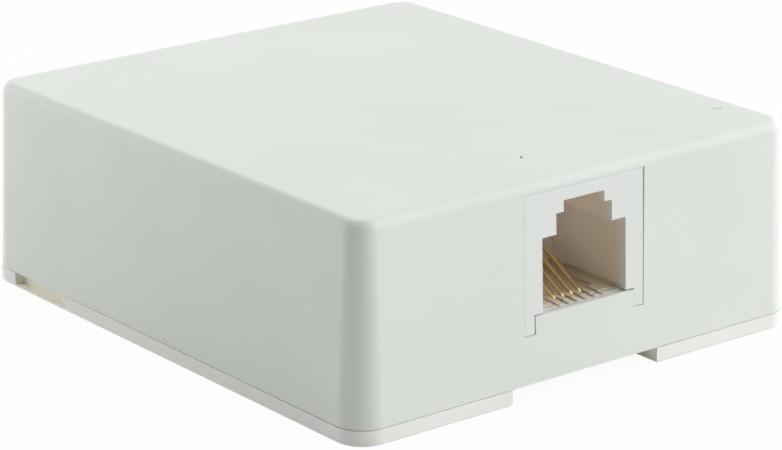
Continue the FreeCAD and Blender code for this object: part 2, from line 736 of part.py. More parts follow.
def contact_carrier():
    """Moulded insert that holds the contact wires against the underside of the cavity."""
    width = CHAMBER_WIDTH - 2 * CARRIER_GAP
    front = face_y(LEG_BOTTOM, COVER_WALL) + 0.3
    end = JACK_BACK + CARRIER_SHELF
    block = mid_box(width, front, JACK_BACK, SEAM, CARRIER_TOP)
    shelf = mid_box(4 * TAIL_PITCH + 1.4, JACK_BACK - 0.5, end, SEAM, CARRIER_TOP)
    rib_top = CHAMBER_TOP - CARRIER_GAP / 2
    front_comb = mid_box(width, wire_y() + 1.3, wire_y() + 2.5, CARRIER_TOP - 0.5, rib_top)
    rear_comb = mid_box(width, JACK_BACK - 1.3, JACK_BACK - 0.3, CARRIER_TOP - 0.5, rib_top)
    y0, y1, z0, z1 = latch_place()
    latch = mid_box(width + 2, y0 + FIT_GAP, y1 - FIT_GAP, z0 + FIT_GAP, z1 - FIT_GAP)
    shape = join([block, shelf, front_comb, rear_comb, latch])
    core_y1 = JACK_BACK - CARRIER_WALL
    core = mid_box(
        width - 2 * CARRIER_WALL, front + CARRIER_WALL, core_y1, SEAM - 1, CARRIER_TOP - CARRIER_WALL
    )
    cuts = [core]
    half = Vec(WIRE_GROOVE / 2, 0, CARRIER_TOP - WIRE_AXIS)
    for _, place, _, _ in LINES:
        ahead = fan_point(place, wire_y() + 1) + half
        behind = fan_point(place, JACK_BACK) + half
        across = Vec(-WIRE_GROOVE, 0, 0)
        groove = prism((ahead, behind, behind + across, ahead + across), UP * WIRE_SPACE)
        channel = SLEEVE / 2 + REST_GAP
        x, y, z = fan_point(place, JACK_BACK - REST_GAP)
        cuts.append(groove)
        cuts.append(cylinder(channel, CARRIER_SHELF + 1, x, y, z, fan_heading(place)))
    return shape.cut(cuts).removeSplitter()


# ---- contacts and leads ----------------------------------------------------------------
def fan_point(place, y):
    """Where a contact wire, its sleeve or its lead is under and behind the cavity."""
    share = (y - wire_y()) / (JACK_BACK - wire_y())
    return Vec(place * (PITCH + (TAIL_PITCH - PITCH) * share), y, WIRE_AXIS)


def fan_heading(place):
    return (fan_point(place, JACK_BACK) - fan_point(place, wire_y())).normalize()


def contact_wire(place):
    """Spring wire: back under the cavity, up through the comb and up to the back again."""
    x = place * PITCH
    tail = fan_point(place, SLEEVE_END) - fan_heading(place) * (SLEEVE_LENGTH - CORE_STRIP)
    top = OPENING_FLOOR - WIRE_SINK
    tip_y = cavity_back() + WIRE_TIP
    tip_z = top + (tip_y - wire_y()) * math.tan(math.radians(WIRE_RISE))
    points = (
        tuple(tail),
        (x, wire_y(), WIRE_AXIS),
        (x, wire_y(), top),
        (x, tip_y, tip_z),
    )
    return bar(points, (WIRE_BEND, WIRE_BEND), WIRE, WIRE_SIDES)


def sleeve(place):
    """Crimped joint between a contact wire and its lead."""
    along = fan_heading(place)
    x, y, z = fan_point(place, SLEEVE_END) - along * SLEEVE_LENGTH
    body = crimped(SLEEVE / 2, SLEEVE_LENGTH, x, y, z, along)
    return body.cut(cylinder(CORE / 2 + REST_GAP, SLEEVE_LENGTH, x, y, z, along))


def fork_direction(side, row):
    angle = math.radians(FORK_ANGLE[row])
    return Vec(-side * math.cos(angle), math.sin(angle), 0)


def lead(place, side, row):
    """Insulated lead, bared where it goes into the sleeve."""
    start = fan_point(place, SLEEVE_END)
    along = fan_heading(place)
    terminal = Vec(side * TERMINAL_X, ROW_Y[row], BARREL_AXIS)
    heading = fork_direction(side, row)
    mouth = terminal + heading * (FORK_NECK + BARREL_LENGTH)
    points = [start, start + along * LEAD_STRAIGHT]
    for out, back, rise in LEAD_ROUTE[row]:
        points.append(Vec(side * out, SLEEVE_END + back, WIRE_AXIS + rise))
    points.append(mouth + heading * LEAD_STRAIGHT)
    points.append(mouth - heading * BARREL_GRIP)
    radii = easy_radii(points)
    print("lead", row, "smallest bend", round(min(radii), 2))
    insulated = bar(points, radii, LEAD, LEAD_SIDES)
    x, y, z = start - along * CORE_STRIP
    bare = cylinder(CORE / 2, CORE_STRIP + LEAD_STRAIGHT / 4, x, y, z, along)
    return insulated.fuse(bare).removeSplitter()


# ---- terminals -------------------------------------------------------------------------
def fork_terminal():
    """Stamped fork round the origin, barrel along +X, flat side down at z = 0."""
    half = FORK_WIDTH / 2
    neck = BARREL / 2 - 0.2
    shoulder = FORK_SLOT / 2 + 1.8
    outline = (
        (-FORK_TIP, -half, 0),
        (shoulder, -half, 0),
        (FORK_NECK, -neck, 0),
        (FORK_NECK + 0.5, -neck, 0),
        (FORK_NECK + 0.5, neck, 0),
        (FORK_NECK, neck, 0),
        (shoulder, half, 0),
        (-FORK_TIP, half, 0),
    )
    blade = prism(outline, UP * FORK_THICKNESS)
    slot_half = FORK_SLOT / 2
    slot = box(-2 * FORK_TIP, 0, -slot_half, slot_half, -1, FORK_THICKNESS + 1)
    round_end = cylinder(slot_half, FORK_THICKNESS + 2, 0, 0, -1)
    barrel = crimped(BARREL / 2, BARREL_LENGTH, FORK_NECK, 0, BARREL / 2, Vec(1, 0, 0))
    bore = cylinder(
        BARREL_BORE / 2, BARREL_LENGTH, FORK_NECK + BARREL_LENGTH - BARREL_GRIP, 0, BARREL / 2, Vec(1, 0, 0)
    )
    return join([blade, barrel]).cut([slot, round_end, bore]).removeSplitter()


def lower_washer():
    """Square washer that lies on the post."""
    half = LOWER_WASHER_SIDE / 2
    short = half - LOWER_WASHER_CORNER
    outline = []
    for x, y in ((1, 1), (-1, 1), (-1, -1), (1, -1)):
        ends = [(x * half, y * short, 0), (x * short, y * half, 0)]
        outline += ends if x * y > 0 else ends[::-1]
    plate = prism(outline, UP * WASHER_THICKNESS)
    return plate.cut(cylinder(WASHER_HOLE / 2, WASHER_THICKNESS, 0, 0, 0))


def upper_washer():
    radius = UPPER_WASHER / 2
    disc = many_sided(radius, WASHER_THICKNESS, 0, 0, 0, UP, Vec(1, 0, 0), WASHER_SIDES)
    return disc.cut(cylinder(WASHER_HOLE / 2, WASHER_THICKNESS, 0, 0, 0))


def terminal_screw():
    """Screw with a combined slot and cross recess; z = 0 is under the head."""
    head = cylinder(HEAD_RADIUS, HEAD_HEIGHT, 0, 0, 0)
    head = head.makeChamfer(HEAD_BEVEL, edges_at(head, HEAD_HEIGHT))
    shank = cylinder(SCREW / 2, SCREW_LENGTH, 0, 0, -SCREW_LENGTH)
    half = DRIVE_WIDTH / 2
    slot = box(-HEAD_RADIUS, HEAD_RADIUS, -half, half, HEAD_HEIGHT - DRIVE_DEPTH, HEAD_HEIGHT)
    reach = CROSS_REACH
    cross = box(-half, half, -reach, reach, HEAD_HEIGHT - CROSS_DEPTH, HEAD_HEIGHT)
    return join([head, shank]).cut([slot, cross]).removeSplitter()


def placed(shape, x, y, z, turn=0.0):
    copy = shape.copy()
    copy.Placement = FreeCAD.Placement(Vec(x, y, z), FreeCAD.Rotation(UP, turn))
    return copy


def terminal_set(name, side, row):
    """The stack on one post: square washer, fork, round washer and screw."""
    x = side * TERMINAL_X
    y = ROW_Y[row]
    heading = fork_direction(side, row)
    turn = math.degrees(math.atan2(heading.y, heading.x))
    return {
        "lower_washer_" + name: placed(lower_washer(), x, y, POST_TOP),
        "fork_" + name: placed(fork_terminal(), x, y, FORK_BOTTOM, turn),
        "upper_washer_" + name: placed(upper_washer(), x, y, FORK_TOP),
        "terminal_screw_" + name: placed(terminal_screw(), x, y, HEAD_BOTTOM, SCREW_TURN * side),
    }


def build():
    pieces = {
        "cover": cover(),
        "base": base(),
        "jack_housing": jack_housing(),
        "contact_carrier": contact_carrier(),
    }
    for name, place, side, row in LINES:
        pieces["contact_wire_" + name] = contact_wire(place)
        pieces["sleeve_" + name] = sleeve(place)
        pieces["lead_" + name] = lead(place, side, row)
        pieces.update(terminal_set(name, side, row))
    return pieces


os.makedirs("parts", exist_ok=True)
for node, shape in build().items():
    if not shape.isValid() or len(shape.Solids) != 1:
        print("CHECK", node, shape.isValid(), len(shape.Solids))
    shape.exportStep("parts/" + node + ".step")
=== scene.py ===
"""Surface mount jack box: finishes, fine pieces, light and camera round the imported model."""
import json
import math

import bmesh
import bpy
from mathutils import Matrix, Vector

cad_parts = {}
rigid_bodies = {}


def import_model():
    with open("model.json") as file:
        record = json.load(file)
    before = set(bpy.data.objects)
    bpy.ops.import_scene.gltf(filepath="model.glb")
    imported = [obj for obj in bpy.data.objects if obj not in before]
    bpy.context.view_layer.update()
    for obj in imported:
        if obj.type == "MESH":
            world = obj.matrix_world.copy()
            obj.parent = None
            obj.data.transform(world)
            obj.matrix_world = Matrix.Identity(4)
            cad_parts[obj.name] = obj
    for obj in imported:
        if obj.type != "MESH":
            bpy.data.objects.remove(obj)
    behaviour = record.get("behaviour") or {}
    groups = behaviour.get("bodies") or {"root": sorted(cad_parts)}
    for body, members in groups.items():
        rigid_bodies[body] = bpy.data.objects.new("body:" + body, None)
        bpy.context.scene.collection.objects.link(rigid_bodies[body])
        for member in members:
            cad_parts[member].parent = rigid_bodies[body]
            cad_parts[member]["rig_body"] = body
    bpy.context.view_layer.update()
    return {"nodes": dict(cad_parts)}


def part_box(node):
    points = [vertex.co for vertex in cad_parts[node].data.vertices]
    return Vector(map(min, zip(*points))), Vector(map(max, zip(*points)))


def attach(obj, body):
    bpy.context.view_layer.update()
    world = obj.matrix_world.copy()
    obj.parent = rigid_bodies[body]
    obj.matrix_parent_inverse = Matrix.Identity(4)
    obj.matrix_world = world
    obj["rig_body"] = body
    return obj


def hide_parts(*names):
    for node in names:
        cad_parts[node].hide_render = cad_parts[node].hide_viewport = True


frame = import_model()
nodes = frame["nodes"]

MM = 0.001
LINES = ("black", "red", "green", "yellow")

# ---- sizes in mm, and places in the part's own frame -------------------------------------
# how far the edges of each piece are rounded over
COVER_EASE = 0.06
BASE_EASE = 0.05
JACK_EASE = 0.04
CARRIER_EASE = 0.04
SLEEVE_EASE = 0.05
FORK_EASE = 0.03
WASHER_EASE = 0.06
SCREW_EASE = 0.08

# the play in the fits: the cover sits down on its seam, the jack to one side of its window
COVER_DROP = 0.03
JACK_SHIFT = 0.065

# the cover's crisp edges lie this near to the pip's top, the seam, the window and the tongue
PIP_BAND = 0.3
SEAM_BAND = 0.05
WINDOW_BAND = 0.3
TONGUE_BAND = 0.5

# a dark fleck in the cover's top, then painted shade round the near side of the gate's pip
# and a painted light top on it: middle, turn in degrees, squeeze along each axis, radii at the
# soft outer and inner edge, shade
COVER_FLECK_AND_PIP_SHADE = (
    ((-2.05, -22.5), 38, (1, 0.27, 0.3), 0.14, 0.06, "#3A3A36"),
    # painted shade and light at the pip: a grey crescent on its near side, a paler disc on its top
    ((22.6, -22.1), 0, (1, 1, 0), 0.48, 0.42, "#D3D7D1"),
    ((22.65, -21.94), 0, (1, 1, 0), 0.36, 0.30, "#EEF2ED"),
)

# the jack's comb with its six slots, the trough behind it, and the face with its two legs
COMB_PITCH = 1.02
COMB_TOP = 7.82
COMB_HALF_WIDTH = 3.0
COMB_FRONT = -27.8           # the grooves' front ends lie in front of this
COMB_LOW = 7.0               # and above this
GROOVE_FLOOR = 7.32
GROOVE_FILL = 0.45
GROOVE_NARROWED = 0.6        # share of its width that is left at a groove's front end
TROUGH_FLOOR = 7.02
TROUGH_FILL = 0.68
LEG_END = 6.22
LEG_EXTRA = 0.07
FACE_BACK = -27.6
FACE_EXTRA = 0.03

# painted shade and light in the jack's cavity, and where they change
CAVITY_HALF_WIDTH = 5.0
CAVITY_BACK = -17.2
CAVITY_HEIGHTS = (6.95, 17.95)
PAINTED_CAVITY_STARTS = (0.3, 1.6)   # behind the jack's face
PAINTED_CAVITY_LIGHTER = (2.0, 7.0)    # behind the jack's face
PAINTED_CAVITY_DARKER = (8.4, 8.2)  # going down to the comb

# the pry slots in the base's sides, and where they and the notch in its front are painted light
SLOT_ALONG = (16.1, 25.1)
SLOT_HEIGHTS = (0.3, 1.6)
SLOT_WALLS = (               # from the base's middle line: in the solid, and as it looks
    (24.3, 25.45),
    (25.3, 25.55),
)
SLOT_PAINTED_LIGHT = (16.15, 25.05)
NOTCH_PAINTED_LIGHT = (-8.75, 8.75)
PAINTED_LIGHT_STARTS = 0.25          # in from the base's edge
SLOT_PAINTED_LIGHT_ENDS = 2.2        # in from the base's edge
NOTCH_PAINTED_LIGHT_ENDS = 6.4       # in from the base's edge

# contacts and leads
WIRE_RADIUS = 0.225
WIRE_BEND = 0.8
WIRE_TIP = -17.93            # how far back the contacts' tips reach
LEAD_RADIUS = 0.65
CORE_RADIUS = 0.25
CORE_BARED = 1.5
FRONT_LEAD = (
    (2.871, -12.66, 5.895),
    (3.04, -10.868, 5.895),
    (3.9, -8.26, 7.495),
    (5.884, -6.649, 8.32),
    (9.714, -3.435, 8.32),
)
REAR_LEAD = (
    (0.957, -12.66, 5.895),
    (1.013, -10.861, 5.895),
    (2.1, -7.26, 5.895),
    (5.0, -2.66, 5.895),
    (6.6, 3.54, 6.895),
    (7.351, 7.884, 8.32),
    (10.565, 11.714, 8.32),
)

# terminal screws
SHANK_LENGTH = 7.01
SHANK_RADIUS = 1.75
SHANK_PLAY = 0.05            # what lies this much outside the shank still belongs to it
SHANK_CORE = 1.55            # the shank's radius between the turns of its thread
THREAD_PITCH = 1.2           # coarser than the real 0.8, so that the turns show
THREAD_LENGTH = 5.2
THREAD_START = 0.3           # above the screw's tip
THREAD_ROOT = 1.5            # the ridge's radius at its foot
THREAD_RUNOUT = 1.52         # and at its crest, where the thread starts and ends
THREAD_RISE = 0.32           # how much higher the crest is on a full turn
THREAD_HALF_FOOT = 0.36      # half the ridge's width at its foot
THREAD_HALF_CREST = 0.05     # and at its crest
THREAD_STEPS = 24            # in each turn
THREAD_FADE = 8              # it rises and falls over one part in this many, at each end

# camera and lamps: angles in degrees round the box, 0 in front of the jack
CAMERA_TARGET = (0.856, 0, 7.365)
CAMERA_ROUND = -38.372
CAMERA_UP = 18.370
CAMERA_DISTANCE = 320.33
CAMERA_LENS = 152.57
CAMERA_SENSOR = 36
CAMERA_CLIP = 10
LAMP_TARGET = (0, 0, 10)
LAMPS = (
    # angle round, angle up, distance, width, height, and the level on a white face
    ("right_front_high", 50, 45, 600, 800, 500, 0.58),
    ("right_front_low", 58, 22, 600, 900, 400, 0.69),
    ("left_back", -145, 18, 200, 160, 120, 0.44),
    ("back_high", -170, 60, 600, 800, 600, 0.29),
)
AMBIENT = 0.12
FLOOR_WHITE = 0.95           # share of the floor's white that no shadow darkens
FLOOR_REACH = 2500
FLOOR_DROP = 0.02            # below the base's underside

# ---- meshes: angles and kinds of face ----------------------------------------------------
SHARP = math.radians(34)     # edges sharper than this get rounded over
COPLANAR = math.radians(0.4)
MERGED = math.radians(0.3)   # faces this nearly flat to each other become one
SAME_SURFACE = math.radians(50)
NARROW = 0.8                 # mm; a facet narrower than this may belong to a curve
WELD = 0.0005                # mm; corners this near to each other are one
SAME_LEVEL = 0.01            # mm; corners this near to a level or a wall belong to it
FLAT, ROUNDED, CURVED = 0, 1, 2


# ---- materials: nodes --------------------------------------------------------------------
MIX_FIRST, MIX_SECOND = 6, 7                        # the inputs for a Mix node's two colours
NOISE_REACH = {"From Min": 0.3, "From Max": 0.7}    # nearly all of a noise lies between these


def colour(hex_code):
    """An sRGB hex colour as linear RGBA."""
    channels = [int(hex_code[i:i + 2], 16) / 255 for i in (1, 3, 5)]
    linear = [c / 12.92 if c <= 0.04045 else ((c + 0.055) / 1.055) ** 2.4 for c in channels]
    return (*linear, 1.0)


def add(tree, kind, inputs=(), **settings):
    """One node with its settings. An input takes a value, a socket or another node's result."""
    made = tree.nodes.new(kind)
    for name, value in settings.items():
        setattr(made, name, value)
    for socket, value in dict(inputs).items():
        if isinstance(value, bpy.types.Node):
            value = next(output for output in value.outputs if output.enabled)
        if isinstance(value, bpy.types.NodeSocket):
            tree.links.new(value, made.inputs[socket])
        else:
            made.inputs[socket].default_value = value
    return made


def emptied_tree(owner):
    """The node tree of a material or a world, with nothing in it."""
    owner.use_nodes = True
    owner.node_tree.nodes.clear()
    return owner.node_tree


def inside(tree, ranges):
    """1 where each position lies in its range in mm, else 0."""
    both = None
    for position, (start, end) in ranges:
        reach = {0: position, 1: (start + end) / 2 * MM, 2: (end - start) / 2 * MM}
        zone = add(tree, "ShaderNodeMath", reach, operation="COMPARE")
        if both:
            zone = add(tree, "ShaderNodeMath", {0: both, 1: zone}, operation="MULTIPLY")
        both = zone
    return both


def surface(name, tone, polish, grain, stretch=(1, 1, 1), marks_and_painted_light=None, **values):
    """A material whose shade, polish and height vary in soft marks of real sizes.

    tone, polish and grain start with the marks' size in mm and their detail. Then tone has the
    light and dark shades, polish the roughness from and to, and grain the marks' depth in mm and
    how strongly they show. The function given for marks and painted light changes the shade in
    some places, with real flecks and with painted shade and light.
    """
    material = bpy.data.materials.new(name)
    tree = emptied_tree(material)
    place = add(tree, "ShaderNodeTexCoord").outputs["Object"]
    drawn = add(tree, "ShaderNodeVectorMath", {0: place, 1: stretch}, operation="MULTIPLY")
    marks = []
    for mark_mm, detail, *_ in (tone, polish, grain):
        fineness = {"Scale": 1 / (mark_mm * MM), "Detail": detail}
        marks.append(add(tree, "ShaderNodeTexNoise", {"Vector": drawn, **fineness}))
    mottle, wear, height = marks

    light, dark = tone[2:]
    shares = add(tree, "ShaderNodeMapRange", {"Value": mottle, **NOISE_REACH})
    shades = {MIX_FIRST: colour(dark), MIX_SECOND: colour(light)}
    shade = add(tree, "ShaderNodeMix", {"Factor": shares, **shades}, data_type="RGBA")
    # painted shade and light, and a real fleck, go into the shade here
    if marks_and_painted_light:
        shade = marks_and_painted_light(tree, place, shade)

    smooth, rough = polish[2:]
    limits = {"To Min": smooth, "To Max": rough}
    roughness = add(tree, "ShaderNodeMapRange", {"Value": wear, **NOISE_REACH, **limits})

    depth_mm, strength = grain[2:]
    depth = {"Distance": depth_mm * MM, "Strength": strength}
    relief = add(tree, "ShaderNodeBump", {"Height": height, **depth})

    looks = {"Base Color": shade, "Roughness": roughness, "Normal": relief, **values}
    shader = add(tree, "ShaderNodeBsdfPrincipled", looks)
    add(tree, "ShaderNodeOutputMaterial", {"Surface": shader})
    return material


# ---- materials ---------------------------------------------------------------------------
def fleck_and_painted_pip_shade(tree, place, shade):
    """A dark fleck moulded into the cover's top, and painted shade and light at its gate's pip."""
    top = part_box("cover")[1].z
    for (x, y), turn, squeeze, outer, inner, spot in COVER_FLECK_AND_PIP_SHADE:
        middle = Vector((x * MM, y * MM, top))
        apart = add(tree, "ShaderNodeVectorMath", {0: place, 1: middle}, operation="SUBTRACT")
        turned = add(
            tree,
            "ShaderNodeVectorRotate",
            {"Vector": apart, "Angle": math.radians(turn)},
            rotation_type="Z_AXIS",
        )
        squeezed = add(tree, "ShaderNodeVectorMath", {0: turned, 1: squeeze}, operation="MULTIPLY")
        away = add(tree, "ShaderNodeVectorMath", {0: squeezed}, operation="LENGTH")
        edge = {"From Min": outer * MM, "From Max": inner * MM}
        near = add(tree, "ShaderNodeMapRange", {"Value": away, **edge})
        shades = {MIX_FIRST: shade, MIX_SECOND: colour(spot)}
        shade = add(tree, "ShaderNodeMix", {"Factor": near, **shades}, data_type="RGBA")
    return shade


def painted_recess_light(tree, place, shade):
    """Painted light: the base goes a pale cream in its pry slots and notch, for light coming
    through it.
    """
    low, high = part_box("base")
    side = high.x / MM
    front = low.y / MM
    parts = add(tree, "ShaderNodeSeparateXYZ", {"Vector": place}).outputs
    aside = add(tree, "ShaderNodeMath", {0: parts["X"]}, operation="ABSOLUTE")
    slot_depth = (side - SLOT_PAINTED_LIGHT_ENDS, side - PAINTED_LIGHT_STARTS)
    notch_depth = (front + PAINTED_LIGHT_STARTS, front + NOTCH_PAINTED_LIGHT_ENDS)
    slots = inside(tree, ((parts["Y"], SLOT_PAINTED_LIGHT), (aside, slot_depth)))
    notch = inside(tree, ((parts["X"], NOTCH_PAINTED_LIGHT), (parts["Y"], notch_depth)))
    recess = add(tree, "ShaderNodeMath", {0: notch, 1: slots}, operation="MAXIMUM")
    # painted light: a pale cream in the recesses, in place of light coming through the plastic
    shades = {MIX_FIRST: shade, MIX_SECOND: colour("#FBF8E8")}
    return add(tree, "ShaderNodeMix", {"Factor": recess, **shades}, data_type="RGBA")


def painted_cavity_shading(tree, place, shade):
    """Painted shade inside the jack: cream, painted paler towards the back and darker on its comb.
    """
    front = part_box("jack_housing")[0].y / MM
    parts = add(tree, "ShaderNodeSeparateXYZ", {"Vector": place}).outputs
    sideways = (-CAVITY_HALF_WIDTH, CAVITY_HALF_WIDTH)
    backward = (front, CAVITY_BACK)
    ranges = ((parts["X"], sideways), (parts["Y"], backward), (parts["Z"], CAVITY_HEIGHTS))
    cavity = inside(tree, ranges)
    fades = []
    for along, zero, (start, end) in (
        (parts["Y"], front, PAINTED_CAVITY_STARTS),
        (parts["Y"], front, PAINTED_CAVITY_LIGHTER),
        (parts["Z"], 0, PAINTED_CAVITY_DARKER),
    ):
        reach = {"From Min": (zero + start) * MM, "From Max": (zero + end) * MM}
        fades.append(add(tree, "ShaderNodeMapRange", {"Value": along, **reach}))
    inward, deeper, down = fades
    # painted shade: a cream tint, painted paler deeper in and darker down on the comb
    painted_cavity = colour("#EDE0CF")
    for share, other in ((deeper, "#FFF4EA"), (down, "#D8CDB8")):
        shades = {MIX_FIRST: painted_cavity, MIX_SECOND: colour(other)}
        painted_cavity = add(tree, "ShaderNodeMix", {"Factor": share, **shades}, data_type="RGBA")
    painted_cavity_share = add(tree, "ShaderNodeMath", {0: cavity, 1: inward}, operation="MULTIPLY")
    shades = {MIX_FIRST: shade, MIX_SECOND: painted_cavity}
    return add(tree, "ShaderNodeMix", {"Factor": painted_cavity_share, **shades}, data_type="RGBA")


def spark_eroded_abs(name, light, dark, rough, marks_and_painted_light):
    """White ABS from a spark-eroded mould: satin, a very fine grain and a faint flow mottle."""
    return surface(
        name,
        tone=(14.0, 2.0, light, dark),
        polish=(5.0, 2.0, rough - 0.04, rough + 0.04),
        grain=(0.35, 3.0, 0.012, 0.35),  # coarser than the real grain, too fine to show
        marks_and_painted_light=marks_and_painted_light,
        IOR=1.54,
    )


def cover_abs():
    """The cover's ABS: a faint green in its white pigment, a dark fleck, and painted shade at its
    pip.
    """
    return spark_eroded_abs("spark eroded white ABS", "#E9EEE8", "#E5EAE4", 0.42, fleck_and_painted_pip_shade)


def base_abs():
    """The base's ABS: whiter, painted light for the floor's light on it, a little smoother, and
    painted light in its recesses.
    """
    # painted light: whiter shades than the cover's, for the light the floor throws up on the base
    return spark_eroded_abs("moulded white ABS", "#F6F6F3", "#F3F3EF", 0.36, painted_recess_light)


def jack_abs():
    """ABS from a polished mould: one clean white with a soft shine, and painted shade inside."""
    white = "#E9EDEA"
    return surface(
        "polished white ABS",
        tone=(9.0, 2.0, white, white),
        polish=(9.0, 2.0, 0.30, 0.33),
        grain=(0.6, 2.0, 0.004, 0.2),
        marks_and_painted_light=painted_cavity_shading,
        IOR=1.54,
    )


def carrier_nylon():
    """Natural nylon, moulded: cream and waxy, with soft clouds."""
    return surface(
        "natural nylon",
        tone=(4.0, 2.0, "#F1E9DA", "#E9E0CF"),
        polish=(2.0, 2.0, 0.34, 0.44),
        grain=(0.5, 2.0, 0.01, 0.3),
        IOR=1.53,
    )


def pvc(name, light, dark):
    """Extruded PVC insulation: smooth and slightly waxy, with a faint waviness."""
    return surface(
        name,
        tone=(2.5, 2.0, light, dark),
        polish=(1.2, 2.0, 0.32, 0.44),
        grain=(0.8, 2.0, 0.01, 0.3),
        IOR=1.53,
    )


def metal(name, light, dark, rough, mark_mm, depth_mm=0.006, stretch=(1, 1, 1)):
    """A metal whose shade, polish and height vary together over its surface."""
    return surface(
        name,
        tone=(mark_mm, 3.0, light, dark),
        polish=(mark_mm, 3.0, rough - 0.06, rough + 0.08),
        grain=(mark_mm, 3.0, depth_mm, 0.3),
        stretch=stretch,
        Metallic=1.0,
    )


def gold_plated_wire():
    """Thin gold over nickel on drawn phosphor bronze: a pale yellow shine with fine marks.

    The marks are coarser than those that drawing the wire leaves, which are too fine to show.
    """
    return metal("gold plated phosphor bronze", "#F2E3B4", "#CDB67E", 0.15, 0.3, stretch=(6, 1, 1))


def zinc_plate():
    """Bright zinc with a clear passivate on steel: cool grey with a blue cast and fine clouds."""
    return metal("bright zinc plated steel", "#CDD0D4", "#B8BCC2", 0.32, 0.7, depth_mm=0.002)


def tinned_brass():
    """Stamped brass, tin plated: soft silver grey with a warm cast."""
    return metal("tin plated brass", "#D2CEC4", "#B6AF9F", 0.34, 0.6)


def bare_copper():
    """Annealed copper core: pinkish and slightly dulled."""
    return metal("annealed copper", "#D9916A", "#B06E4C", 0.34, 0.4)


PVC_SHADES = {
    "black": ("#2B2B2D", "#1C1C1E"),
    "red": ("#C4302B", "#A82420"),
    "green": ("#2E8A48", "#23713A"),
    "yellow": ("#EBC83A", "#D6B02A"),
}


# ---- pieces: what they share -------------------------------------------------------------
def placed(name, data):
    """A new object in the scene."""
    made = bpy.data.objects.new(name, data)
    bpy.context.scene.collection.objects.link(made)
    return made


def dressed(piece, material, node, replaces=True):
    """Gives a piece its material and the body of the node that it stands for, and hides that node
    when the piece replaces it.
    """
    piece.data.materials.append(material)
    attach(piece, nodes[node]["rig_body"])
    if replaces:
        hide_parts(node)
    return piece


def mesh_from(form, name):
    """The form as a mesh, all of it in its first material."""
    for face in form.faces:
        face.material_index = 0
    mesh = bpy.data.meshes.new(name)
    form.to_mesh(mesh)
    form.free()
    return mesh


def coplanar_groups(form):
    """Faces gathered into flat areas: each face's group number, and each group's faces."""
    group_of = {}
    groups = []
    for seed in form.faces:
        if seed in group_of:
            continue
        members = [seed]
        group_of[seed] = len(groups)
        for face in members:
            for edge in face.edges:
                for other in edge.link_faces:
                    if other not in group_of and edge.calc_face_angle(1) < COPLANAR:
                        group_of[other] = len(groups)
                        members.append(other)
        groups.append(members)
    return group_of, groups


def is_curved(members, group_of, number):
    """True for a narrow facet that runs on into others at a slight angle."""
    area = sum(face.calc_area() for face in members)
    corners = [vert.co for face in members for vert in face.verts]
    longest = max((corner - corners[0]).length for corner in corners)
    if area > NARROW * MM * longest:
        return False
    for face in members:
        for edge in face.edges:
            outer = any(group_of[other] != number for other in edge.link_faces)
            if outer and edge.calc_face_angle(1) < SHARP:
                return True
    return False


def shading_normal(face, corner):
    """Flat areas stay flat, and curves and rounded edges run smoothly into them."""
    if face.material_index == FLAT:
        return face.normal.copy()
    limit = math.cos(SAME_SURFACE)
    near = [other for other in corner.link_faces if other.normal.dot(face.normal) > limit]
    for kind in (FLAT, CURVED, ROUNDED):
        total = Vector()
        for other in near:
            if other.material_index == kind:
                total += other.normal * other.calc_area()
        if total.length > 0:
            return total.normalized()
    return face.normal.copy()


def eased(node, width_mm, material, name, leave=None, adjust=None):
    """The part itself with its sharp edges rounded over, as moulding and tumbling leave them."""
    form = bmesh.new()
    form.from_mesh(nodes[node].data)
    bmesh.ops.remove_doubles(form, verts=form.verts, dist=WELD * MM)
    bmesh.ops.dissolve_limit(form, angle_limit=MERGED, verts=form.verts, edges=form.edges)
    if adjust:
        adjust(form)
    bmesh.ops.triangulate(form, faces=form.faces)
    form.normal_update()
    group_of, groups = coplanar_groups(form)
    for number, members in enumerate(groups):
        kind = CURVED if is_curved(members, group_of, number) else FLAT
        for face in members:
            face.material_index = kind
    sharp = [
        edge
        for edge in form.edges
        if edge.calc_face_angle(0) > SHARP and not (leave and leave(edge))
    ]
    bmesh.ops.bevel(
        form,
        geom=sharp,
        offset=width_mm * MM,
        segments=2,
        profile=0.5,
        affect="EDGES",
        clamp_overlap=False,
        loop_slide=True,
        material=ROUNDED,
    )
    form.normal_update()
    normals = [shading_normal(face, corner) for face in form.faces for corner in face.verts]
    mesh = mesh_from(form, name)
    for face in mesh.polygons:
        face.use_smooth = True
    mesh.normals_split_custom_set(normals)
    return dressed(placed(name, mesh), material, node)


# ---- mouldings ---------------------------------------------------------------------------
def kept_crisp(edge):
    """True for the cover's pip, lower edge and window rim, which the mould leaves crisp."""
    bottom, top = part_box("cover")
    if all(corner.co.z > top.z - PIP_BAND * MM for corner in edge.verts):
        return True
    if all(corner.co.z < bottom.z + SEAM_BAND * MM for corner in edge.verts):
        return True
    low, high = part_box("jack_housing")
    band = WINDOW_BAND * MM
    return all(
        abs(corner.co.y - bottom.y) < band
        and low.x - band < corner.co.x < high.x + band
        and low.z - TONGUE_BAND * MM < corner.co.z < high.z + band
        for corner in edge.verts
    )


def fill_comb(form):
    """Shallow trough and grooves, narrow in front, and a face that reaches a little further."""
    face_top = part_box("jack_housing")[1].z / MM
    rises = (
        (GROOVE_FLOOR, GROOVE_FILL),
        (TROUGH_FLOOR, TROUGH_FILL),
        (LEG_END, -LEG_EXTRA),
    )
    for corner in form.verts:
        x, y, z = (value / MM for value in corner.co)
        for level, rise in rises:
            if abs(z - level) < SAME_LEVEL:
                corner.co.z += rise * MM
        if y < FACE_BACK and abs(z - face_top) < SAME_LEVEL:
            corner.co.z += FACE_EXTRA * MM
        if y < COMB_FRONT and abs(x) < COMB_HALF_WIDTH and z > COMB_LOW:
            middle = math.copysign(COMB_PITCH * (math.floor(abs(x) / COMB_PITCH) + 0.5), x)
            corner.co.x = (middle + GROOVE_NARROWED * (x - middle)) * MM


